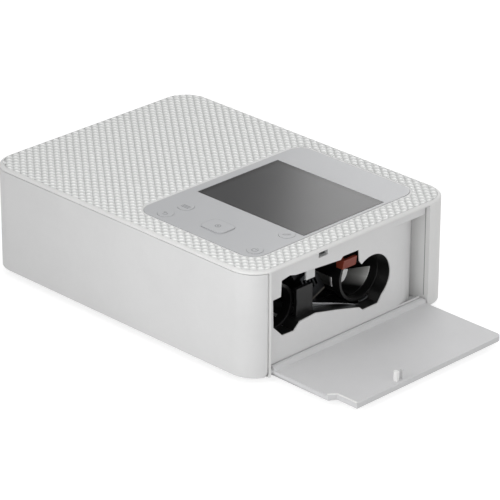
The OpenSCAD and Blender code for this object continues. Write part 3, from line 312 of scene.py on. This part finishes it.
# Print head: a folded steel bracket, an extruded aluminium bar with ribs and the ceramic
# strip that heats the ribbon. It swings on its shaft, and two coil springs press it down.
bare_alloy = sheet_steel("bare_alloy", (66, 67, 69), roughness=0.45)
black_steel = sheet_steel("black_steel", (58, 58, 60), roughness=0.45)
finished("head_bracket", black_steel, edge=0.1)
finished("heat_sink", bare_alloy, edge=0.12)
strip_ceramic = moulded("strip_ceramic", (96, 93, 88), roughness=0.25, tooth=0.004)
finished("thermal_head", strip_ceramic, edge=0.05, rounds=1)
finished("head_springs", turned_steel, edge=0)


# Circuit boards in green solder mask, with sockets and switches soldered on. The main board
# stands on posts at the left rear. The keys' board hangs under the panel, by the display.
def solder_mask(name, colour):
    """Green lacquer over copper: lighter tracks in steps, and bare solder dots."""
    turns = pi / (1.27 * MM)
    finish = Finish(name, Coat_Weight=0.3, Coat_Roughness=0.15)
    x, y, _ = finish.parts(finish.place)
    weave = (finish.grain(2.4 * MM, 0.0, stretch=(1, 6, 1)) > 0.56) * 0.5
    cross = (finish.grain(2.0 * MM, 0.0, stretch=(6, 1, 1), seed=5.0) > 0.58) * 0.5
    tracks = weave.at_least(cross)
    pads = (x * turns).sine() * (y * turns).sine() > 0.93
    lacquer = finish.blend(tint(*colour), tint(*colour, 1.7), tracks)
    finish.set("Base Color", finish.blend(lacquer, tint(196, 198, 200), pads))
    finish.set("Metallic", pads)
    finish.set("Roughness", finish.grain(1 * MM, 3.0) * 0.15 + 0.28)
    finish.relief(tracks + pads, 0.02 * MM)
    return finish


board_lacquer = solder_mask("board_lacquer", (22, 92, 58))
for node in ("control_board", "main_board"):
    finished(node, board_lacquer, edge=0.1, rounds=1)
for node in ("usb_c_port", "usb_a_port", "card_reader"):
    finished(node, turned_steel, edge=0.1)
for node in ("power_inlet", "key_switches", "display_module"):
    finished(node, black_frame, edge=0.1)


# Ink bay: two black troughs behind the bay's mouth, the hubs that turn the spools, the curved
# steel guide of the supply spool and the white cover switch. The red-brown lever slides on
# rails against a spring, and frees the cartridge.
bay_black = moulded("bay_black", (20, 20, 20), roughness=0.34, tooth=0.012, mottle=0.2)
finished("bay_liner", bay_black, edge=0.12)
for node in ("takeup_spindle", "supply_spindle"):
    finished(node, black_frame, edge=0.15)

# Painted light and shade on the spool guide. Its colour is black low down and deep in the bay,
# which is painted shade, and bare marks the part out of that painted shade. Its steel turns paler
# towards the bay's mouth, which is painted light.
painted_shade_slope = 0.14
painted_shade_fades, painted_shade_ends = 7.6 * MM, 11.4 * MM
painted_light_starts, painted_light_full = 62 * MM, 75 * MM
guide_grey = Finish("guide_grey", Roughness=0.42)
x, _, z = guide_grey.parts(guide_grey.place)
bare = guide_grey.ramp(z - x * painted_shade_slope, painted_shade_fades, painted_shade_ends)
painted_mouth_light = guide_grey.ramp(x, painted_light_starts, painted_light_full)
brushed = guide_grey.grain(0.3 * MM, 3.0, stretch=(30, 1, 1))
guide_steel_with_painted_light = guide_grey.blend(
    tint(142, 143, 141), tint(248, 248, 245), painted_mouth_light * 0.9 + brushed * 0.1)
guide_grey.set("Base Color", guide_grey.blend(tint(20, 20, 20), guide_steel_with_painted_light, bare))
guide_grey.relief(brushed, 0.004 * MM)
finished("spool_guide", guide_grey, edge=0.05, rounds=1)

finished("door_switch", tray_white, edge=0.12)
finished("lever_spring", turned_steel, edge=0)
lever_red = moulded("lever_red", (124, 52, 36), roughness=0.4, tooth=0.01)
finished("eject_lever", lever_red, edge=0.25, rounds=3)


# White wall of the ink bay, with the cartridge's opening and the scooped finger pocket,
# clipped into the housing's rabbet. Thin trim stands round it: a lip under the opening, a
# strip at the cover's end, a grey strip at the far post that is painted shadow for the gap
# there, and a tongue and a wire behind the opening.
wall_white = moulded("wall_white", (222, 222, 222), roughness=0.42, tooth=0.008)
finished("bay_wall", wall_white, edge=0.12)


def trim(form, name, body, finish):
    """A small piece of trim, from a mesh that is already in its place."""
    bmesh.ops.recalc_face_normals(form, faces=form.faces)
    mesh = bpy.data.meshes.new(name)
    form.to_mesh(mesh)
    form.free()
    mesh.materials.append(finish.material)
    piece = bpy.data.objects.new(name, mesh)
    bpy.context.scene.collection.objects.link(piece)
    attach(piece, body)


def thin_plate(name, body, finish, axis, near, far, outline):
    """Trim cut from a sheet that lies across an axis, 0 to 2 for X to Z, in millimetres."""
    form = bmesh.new()
    faces = []
    for level in (near, far):
        corners = []
        for first, second in outline:
            point = [first, second]
            point.insert(axis, level)
            corners.append(form.verts.new([v * MM for v in point]))
        faces.append(corners)
    form.faces.new(faces[0])
    form.faces.new(list(reversed(faces[1])))
    for i in range(len(outline)):
        j = (i + 1) % len(outline)
        form.faces.new((faces[0][i], faces[0][j], faces[1][j], faces[1][i]))
    trim(form, name, body, finish)


# Painted shadow: the dark grey of the strip at the far post, which stands for the shadow in the gap
# there.
seam_grey = moulded("seam_grey", (150, 150, 149), roughness=0.5, tooth=0.003)
tongue_white = moulded("tongue_white", (250, 250, 248), roughness=0.45, tooth=0.006)
thin_plate("wall_lip", "printer", wall_white, 1, -53.2, 47.8, [
    (87.45, 7.3), (88.04, 7.3), (88.04, 8.0), (87.45, 8.0)])
thin_plate("corner_strip", "printer", wall_white, 2, 8.0, 54.5, [
    (88.8, -56.95), (90.1, -56.95), (90.1, -56.7), (88.8, -56.7)])
thin_plate("post_seam", "printer", seam_grey, 2, 8.2, 54.2, [
    (88.15, 50.2), (88.5, 50.2), (88.5, 50.5), (88.15, 50.5)])
thin_plate("spool_tongue", "printer", tongue_white, 0, 71.6, 72.4, [
    (2.3, 31.5), (14.4, 28.1), (13.4, 25.3), (11.9, 23.3), (7.5, 22.0), (3.4, 22.7)])
thin_plate("guard_wire", "printer", turned_steel, 0, 83.6, 83.95, [
    (-21.6, 26.9), (-21.6, 26.5), (-2.2, 19.6), (10.2, 14.9), (10.2, 15.3), (-2.0, 20.0)])


# Upper housing, moulded in white with the left side and the back. The top carries a field of
# small rounded studs in offset rows, with a smooth rim and a smooth border at the panel.
shell_white = moulded("shell_white", (228, 228, 227), roughness=0.52, tooth=0.008)
finished("upper_housing", shell_white, edge=0.12)

top_level = 57.0 * MM
body_half_width, body_half_depth = 91.1 * MM, 66.5 * MM
rim_breadth = 1.7 * MM
field_corner = 12.3 * MM
panel_corner = 8 * MM
panel_border = 1.1 * MM
stud_half_width, stud_half_depth = 2.35 * MM, 1.95 * MM
stud_rings = ((1.36, -0.03), (0.60, 0.08), (0.44, 0.26), (0.24, 0.40))
stud_tip = 0.46
stud_sides = 8
flat_corner = 0.82
rim_cut, panel_cut = 0.4 * MM, 0.5 * MM
least_step = 0.01 * MM

# Painted light and shade on the studs: their colour runs from the shell's white at the foot to a
# brighter white at the tip, a painted highlight on the tips and painted shade between them.
stud_white = Finish("stud_white", Roughness=0.24)
_, _, z = stud_white.parts(stud_white.place)
painted_tip_highlight = stud_white.ramp(z, top_level + 0.12 * MM, top_level + 0.36 * MM)
speck = stud_white.grain(0.5 * MM, 3.0)
stud_white.set("Base Color", stud_white.blend(
    tint(228, 229, 228), tint(253, 253, 252), painted_tip_highlight * 0.94 + speck * 0.06))
stud_white.relief(speck, 0.006 * MM)

one_stud = bpy.data.objects.new("stud_form", bpy.data.meshes.new("stud_form"))
bpy.context.scene.collection.objects.link(one_stud)
stud_shell = bmesh.new()
rings = []
for reach, rise in stud_rings:
    ring = []
    for side in range(stud_sides):
        squeeze = 1.0 if side % 2 == 0 else flat_corner
        angle = 2 * pi * side / stud_sides
        ring.append(stud_shell.verts.new((
            stud_half_width * reach * squeeze * cos(angle),
            stud_half_depth * reach * squeeze * sin(angle), rise * MM)))
    rings.append(ring)
tip = stud_shell.verts.new((0, 0, stud_tip * MM))
for low, high in zip(rings, rings[1:]):
    for i in range(stud_sides):
        j = (i + 1) % stud_sides
        stud_shell.faces.new((low[i], low[j], high[j], high[i]))
for i in range(stud_sides):
    stud_shell.faces.new((rings[-1][i], rings[-1][(i + 1) % stud_sides], tip))
stud_shell.faces.new(list(reversed(rings[0])))
stud_shell.to_mesh(one_stud.data)
stud_shell.free()
one_stud.data.shade_smooth()

stud_tree = NodeTree(bpy.data.node_groups.new("stud_field", "GeometryNodeTree"))
vector = stud_tree.vector
tree_inputs = {}
for name, kind in (
        ("Stud", "Object"), ("Half pitch", "Vector"), ("Shift", "Vector"),
        ("Columns", "Int"), ("Rows", "Int"),
        ("Top half size", "Vector"), ("Top corner", "Float"),
        ("Panel centre", "Vector"), ("Panel half size", "Vector"), ("Panel corner", "Float"),
        ("Finish", "Material")):
    tree_inputs[name] = stud_tree.tree.interface.new_socket(
        name=name, in_out="INPUT", socket_type="NodeSocket" + kind)
stud_tree.tree.interface.new_socket(
    name="Geometry", in_out="OUTPUT", socket_type="NodeSocketGeometry")
tree_entry = stud_tree.node("NodeGroupInput", output=None)
given = {name: Term(stud_tree, tree_entry.outputs[name]) for name in tree_inputs}
spot = stud_tree.node("GeometryNodeInputPosition")
top_edge = ((0, 0, 0), given["Top half size"], given["Top corner"])
panel_edge = (given["Panel centre"], given["Panel half size"], given["Panel corner"])


def lattice(shift):
    """A flat grid of points, a whole pitch apart, about the top's middle."""
    pitch = vector("MULTIPLY", given["Half pitch"], (2, 2, 0))
    pitch_x, pitch_y, _ = stud_tree.parts(pitch)
    grid = stud_tree.node("GeometryNodeMeshGrid", {}, {
        "Size X": pitch_x * (given["Columns"] - 1), "Size Y": pitch_y * (given["Rows"] - 1),
        "Vertices X": given["Columns"], "Vertices Y": given["Rows"]})
    moved = stud_tree.node("GeometryNodeTransform", {}, {"Geometry": grid, "Translation": shift})
    return stud_tree.node("GeometryNodeMeshToPoints", {}, {"Mesh": moved})


def core_and_step(centre, half, corner):
    """The nearest point of a rounded oblong's core to the spot, and the step from it there."""
    inner = vector("SUBTRACT", half, corner)
    low = vector("SUBTRACT", centre, inner)
    high = vector("ADD", centre, inner)
    core = vector("MINIMUM", vector("MAXIMUM", spot, low), high)
    step = vector("MULTIPLY", vector("SUBTRACT", spot, core), (1, 1, 0))
    return core, step


def past_edge(centre, half, corner):
    """How far the spot lies outside a rounded oblong, and below 0 inside it."""
    _, step = core_and_step(centre, half, corner)
    return vector("LENGTH", step) - corner


def brought_to_edge(studs, edge, inwards):
    """The studs, with what stands on the wrong side of a rounded oblong's edge put on it."""
    centre, half, corner = edge
    core, step = core_and_step(centre, half, corner)
    share = corner / vector("LENGTH", step).at_least(least_step)
    share = share.at_most(1.0) if inwards else share.at_least(1.0)
    flat = vector("ADD", vector("MULTIPLY", core, (1, 1, 0)), vector("MULTIPLY", step, share))
    level = vector("MULTIPLY", spot, (0, 0, 1))
    return stud_tree.node("GeometryNodeSetPosition", {}, {
        "Geometry": studs, "Position": vector("ADD", flat, level)})


points = stud_tree.node("GeometryNodeJoinGeometry", output=None)
for shift in (given["Shift"], vector("ADD", given["Shift"], given["Half pitch"])):
    stud_tree.feed(points.inputs[0], lattice(shift))
gone = (past_edge(*top_edge) > rim_cut).at_least(past_edge(*panel_edge) < -panel_cut)
kept = stud_tree.node("GeometryNodeDeleteGeometry", {"domain": "POINT"}, {
    "Geometry": Term(stud_tree, points.outputs[0]), "Selection": gone})
stud = stud_tree.node("GeometryNodeObjectInfo", {"transform_space": "ORIGINAL"}, {
    "Object": given["Stud"]}, "Geometry")
studs = stud_tree.node("GeometryNodeInstanceOnPoints", {}, {"Points": kept, "Instance": stud})
studs = stud_tree.node("GeometryNodeRealizeInstances", {}, {"Geometry": studs})
studs = brought_to_edge(studs, top_edge, inwards=True)
studs = brought_to_edge(studs, panel_edge, inwards=False)
studs = stud_tree.node("GeometryNodeSetMaterial", {}, {
    "Geometry": studs, "Material": given["Finish"]})
stud_tree.node("NodeGroupOutput", {}, {"Geometry": studs}, None)

panel_low, panel_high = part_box("control_panel")
panel_middle = (panel_low + panel_high) / 2
stud_field = bpy.data.objects.new("stud_field", bpy.data.meshes.new("stud_field"))
bpy.context.scene.collection.objects.link(stud_field)
planting = stud_field.modifiers.new("studs", "NODES")
planting.node_group = stud_tree.tree
for name, setting in {
        "Stud": one_stud,
        "Half pitch": (2.6 * MM, 2.15 * MM, 0),
        "Shift": (0.3 * MM, 0.4 * MM, 0),
        "Columns": 40,
        "Rows": 36,
        "Top half size": (body_half_width - rim_breadth, body_half_depth - rim_breadth, 0),
        "Top corner": field_corner,
        "Panel centre": (panel_middle.x, panel_middle.y, 0),
        "Panel half size": (
            (panel_high.x - panel_low.x) / 2 + panel_border,
            (panel_high.y - panel_low.y) / 2 + panel_border, 0),
        "Panel corner": panel_corner + panel_border,
        "Finish": stud_white.material}.items():
    planting[tree_inputs[name].identifier] = setting
stud_mesh = bpy.data.meshes.new_from_object(
    stud_field.evaluated_get(bpy.context.evaluated_depsgraph_get()))
stud_field.modifiers.clear()
stud_field.data = stud_mesh
stud_mesh.transform(Matrix.Translation((0, 0, top_level)))
bpy.data.objects.remove(one_stud)
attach(stud_field, "printer")


# Control panel: a flush grey moulding, glued into its seat in the top, with round keys, the
# OK pad and the glossy window over the display. The signs are printed in darker grey, and
# the window has a black border, broad at the left and the back. A grey line round the top of
# the OK pad is painted shade for the gap about it.
panel_grey = moulded("panel_grey", (190, 191, 193), roughness=0.37, tooth=0.004, mottle=0.02)
finished("control_panel", panel_grey, edge=0.1)
for node in ("back_key", "menu_key", "edit_key", "power_key", "ok_pad"):
    finished(node, panel_grey, edge=0.03, rounds=1)

screen_low, screen_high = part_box("screen_window")
broad_border, slim_border, border_blur = 2.9 * MM, 0.7 * MM, 0.15 * MM
screen_black = Finish("screen_black", IOR=1.45)
x, y, _ = screen_black.parts(screen_black.place)
inset_x = (x - (screen_low.x + broad_border)).at_most(screen_high.x - slim_border - x)
inset_y = (y - (screen_low.y + slim_border)).at_most(screen_high.y - broad_border - y)
display = screen_black.ramp(inset_x.at_most(inset_y), -border_blur, border_blur)
sleek = screen_black.grain(14 * MM, 3.0)
smear = screen_black.grain(0.9 * MM, 4.0, stretch=(1, 7, 1), seed=2.0)
screen_black.set("Base Color", screen_black.blend(
    tint(10, 10, 11), screen_black.blend(tint(38, 38, 40), tint(43, 43, 44), sleek), display))
screen_black.set("Roughness", sleek * 0.03 + smear * 0.04 + 0.175)
screen_black.relief(smear, 0.0006 * MM)
finished("screen_window", screen_black, edge=0.12)

print_grey = moulded("print_grey", (132, 133, 136), roughness=0.5, tooth=0.003)
line_grey = moulded("line_grey", (176, 177, 180), roughness=0.5, tooth=0.003)


def raised_line(form, line, width, low, high, closed=False):
    """A line of even width along points in X and Y, in millimetres, solid from low to high."""
    count = len(line)
    sections = []
    for i, point in enumerate(line):
        before = line[i - 1] if closed or i > 0 else point
        after = line[(i + 1) % count] if closed or i < count - 1 else point
        run = (Vector(after) - Vector(before)).normalized()
        side = Vector((-run.y, run.x)) * width / 2
        left, right = Vector(point) + side, Vector(point) - side
        sections.append([
            form.verts.new((place.x * MM, place.y * MM, level * MM))
            for place, level in ((left, low), (right, low), (right, high), (left, high))])
    pairs = list(zip(sections, sections[1:]))
    if closed:
        pairs.append((sections[-1], sections[0]))
    else:
        form.faces.new(sections[0])
        form.faces.new(list(reversed(sections[-1])))
    for a, b in pairs:
        for i in range(4):
            form.faces.new((a[i], a[(i + 1) % 4], b[(i + 1) % 4], b[i]))


def arc(centre, radius, start, end, steps=24):
    """Points along an arc, between two angles in degrees."""
    angles = [radians(start + (end - start) * i / steps) for i in range(steps + 1)]
    return [(centre[0] + radius * cos(a), centre[1] + radius * sin(a)) for a in angles]


def printed_sign(name, key, ink, drawing):
    """A sign on a key: lines about the key's middle, each with its width and if it closes."""
    sunk, proud = 0.01, 0.02
    low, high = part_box(key)
    middle = (low + high) / 2 / MM
    top = high.z / MM
    form = bmesh.new()
    for line, width, closed in drawing:
        moved = [(middle.x + across, middle.y + along) for across, along in line]
        raised_line(form, moved, width, top - sunk, top + proud, closed)
    trim(form, name, key, ink)


# Painted shade: a line of darker grey round the top of the OK pad stands for the shadow in the gap
# about it.
pad_gap_shade_line = []
for quarter, corner in enumerate(((4.1, 2.45), (-4.1, 2.45), (-4.1, -2.45), (4.1, -2.45))):
    pad_gap_shade_line += arc(corner, 3, 90 * quarter, 90 * quarter + 90, 6)
printed_sign("ok_pad_outline", "ok_pad", line_grey, [(pad_gap_shade_line, 0.2, True)])
printed_sign("ok_pad_sign", "ok_pad", print_grey, [
    (arc((0, 0), 1.35, 0, 345), 0.34, True),
    (arc((0, 0), 0.35, 0, 330, 11), 0.4, True)])
printed_sign("power_key_sign", "power_key", print_grey, [
    (arc((0, 0), 1.5, -235, 55), 0.34, False),
    ([(0, 0.3), (0, 2.0)], 0.34, False)])
printed_sign("back_key_sign", "back_key", print_grey, [
    ([(-1.5, 0.55), (0.2, 0.55), *arc((0.2, -0.4), 0.95, 90, -90, 12), (-0.9, -1.35)], 0.32, False),
    ([(-0.7, 1.35), (-1.6, 0.55), (-0.7, -0.25)], 0.32, False)])
printed_sign("menu_key_sign", "menu_key", print_grey, [
    ([(-2.4, bar), (2.4, bar)], 0.42, False) for bar in (-1.0, 0, 1.0)])
printed_sign("edit_key_sign", "edit_key", print_grey, [
    ([(-1.5, -1.5), (-1.2, -0.5), (0.9, 1.6), (1.6, 0.9), (-0.5, -1.2)], 0.3, True),
    ([(0.3, 1.0), (1.0, 0.3)], 0.26, False)])


# Front panel inside the cover, with the cassette's mouth and the sockets, and the plain front
# cover that wraps both front corners. The cover turns on two pins in the tray's ears.
finished("front_frame", tray_white, edge=0.2)
cover_white = moulded("cover_white", (213, 213, 213), roughness=0.5, tooth=0.008)
finished("front_cover", cover_white, edge=0.12)


# Ink door, a thin white plate that lies open on the table and turns on pins in the housing.
# A raised lip follows its stepped corner, and the tab near its free edge latches in the bay's
# wall. The lip and a thin cap over the tab are coloured paler than the door as painted highlight.
door_white = moulded("door_white", (211, 211, 212), roughness=0.58, tooth=0.006)
finished("ink_door", door_white, edge=0.09)
# Painted highlight: a paler white for the door's raised lip and for a thin cap over the latch tab,
# where light catches them.
latch_white = moulded("latch_white", (244, 244, 243), roughness=0.4, tooth=0.006)
door_lip = bmesh.new()
raised_line(door_lip, [(124.1, -52.9), (126.8, -49.25), (139.0, -49.25)], 0.9, 5.4, 5.9)
trim(door_lip, "door_lip", "ink_door", latch_white)
thin_plate("latch_cap", "ink_door", latch_white, 2, 5.45, 10.56, [
    (135.4, -21.58), (137.4, -21.58), (137.4, -20.1), (135.4, -20.1)])


# Steel screws with flat heads, driven from below. They hold the tray to the bosses of the
# upper housing.
finished("housing_screws", turned_steel, edge=0.12)


# Table and studio: a plain white table that keeps the printer's soft shadow, and a pale room.
# A large lamp hangs above, and three smaller ones stand close before the front, off the right
# side, and behind, where the screen and the studs mirror it.
def soft_light(name, place, target, width, power):
    lamp = bpy.data.objects.new(name, bpy.data.lights.new(name, "AREA"))
    lamp.data.shape = "SQUARE"
    lamp.data.size = width
    lamp.data.energy = power
    lamp.location = place
    lamp.rotation_euler = (Vector(target) - Vector(place)).to_track_quat("-Z", "Y").to_euler()
    bpy.context.scene.collection.objects.link(lamp)


soft_light("top_light", (-0.1, 0.1, 1.3), (0, 0, 0), width=1.0, power=2.9)
soft_light("front_light", (0.11, -0.31, 0.13), (0.08, -0.066, 0.03), width=0.2, power=0.36)
soft_light("right_light", (0.68, 0.0, 0.34), (0.08, 0.02, 0.025), width=0.25, power=0.65)
soft_light("window_light", (-0.29, 0.64, 0.30), (0.04, 0.01, 0.057), width=0.4, power=1.05)

room = bpy.data.worlds.new("room")
room.use_nodes = True
bpy.context.scene.world = room
room_tree = NodeTree(room.node_tree)
room_light = room.node_tree.nodes["Background"]
in_view = room_tree.node("ShaderNodeLightPath", output="Is Camera Ray")
room_tree.feed(room_light.inputs["Color"], (1, 1, 1, 1))
room_tree.feed(room_light.inputs["Strength"], in_view * 0.5 + 0.5)

table_reach = 9
table = bpy.data.objects.new("table", bpy.data.meshes.new("table"))
bpy.context.scene.collection.objects.link(table)
table.data.from_pydata(
    [(x * table_reach, y * table_reach, 0) for x, y in ((-1, -1), (1, -1), (1, 1), (-1, 1))],
    [], [(0, 1, 2, 3)])
table_white = Finish("table_white")
in_view, in_gloss, in_glass = [
    table_white.node("ShaderNodeLightPath", output=name)
    for name in ("Is Camera Ray", "Is Glossy Ray", "Is Transmission Ray")]
shown = in_view.at_least(in_gloss).at_least(in_glass)
shade = table_white.node("ShaderNodeBsdfDiffuse", {}, {"Color": (0.42, 0.42, 0.42, 1)})
glow = table_white.node("ShaderNodeEmission", {}, {"Color": (1, 1, 1, 1), "Strength": 0.78})
bright = table_white.node("ShaderNodeAddShader", {}, {0: shade, 1: glow})
plain = table_white.node("ShaderNodeBsdfDiffuse", {}, {"Color": (0.8, 0.8, 0.8, 1)})
surface = table_white.node("ShaderNodeMixShader", {}, {0: shown, 1: plain, 2: bright})
table_white.feed(table_white.tree.nodes["Material Output"].inputs["Surface"], surface)
table.data.materials.append(table_white.material)

bpy.context.scene.view_settings.view_transform = "Standard"
